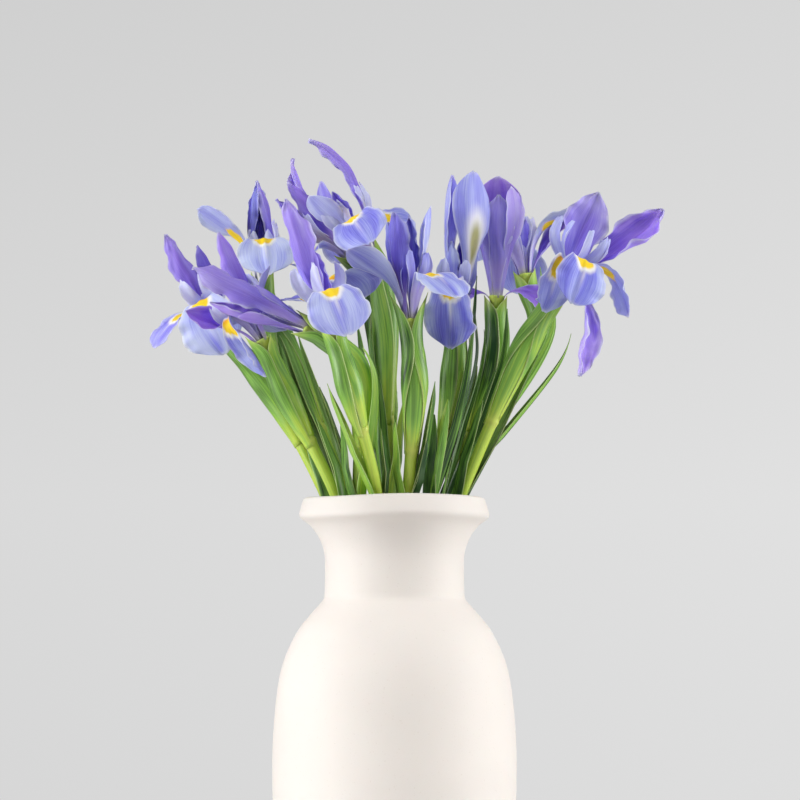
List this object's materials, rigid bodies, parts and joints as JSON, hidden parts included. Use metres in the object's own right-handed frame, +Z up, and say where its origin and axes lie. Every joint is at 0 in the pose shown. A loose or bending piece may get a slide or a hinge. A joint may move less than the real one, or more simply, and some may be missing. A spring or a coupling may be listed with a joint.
{
  "type": "irises in a vase",
  "caption": "Bouquet of blue-violet Dutch irises with green stems and leaves, fanned out of the narrow neck of a tall rounded off-white ceramic vase, to stand on a table.",
  "frame": {"origin": "the middle of the vase's flat base, on the surface it stands on", "axes": "+Z up along the vase's axis, -Y towards the viewer of the picture, +X to the viewer's right"},
  "size_m": [0.3111, 0.2142, 0.5054],
  "materials": {
    "ceramic": "matte",
    "petals": "matte",
    "stems": "satin",
    "water": "gloss"
  },
  "bodies": {
    "root": {"vase": "ceramic", "water": "water", "stem_01": "stems", "bloom_01": "petals", "stem_02": "stems", "bloom_02": "petals", "stem_03": "stems", "bloom_03": "petals", "stem_04": "stems", "bloom_04": "petals", "stem_05": "stems", "bloom_05": "petals", "stem_06": "stems", "bloom_06": "petals", "stem_07": "stems", "bloom_07": "petals", "stem_08": "stems", "bloom_08": "petals", "stem_09": "stems", "bloom_09": "petals", "stem_10": "stems", "bloom_10": "petals", "stem_11": "stems", "bloom_11": "petals", "stem_12": "stems", "bloom_12": "petals"}
  },
  "joints": []
}
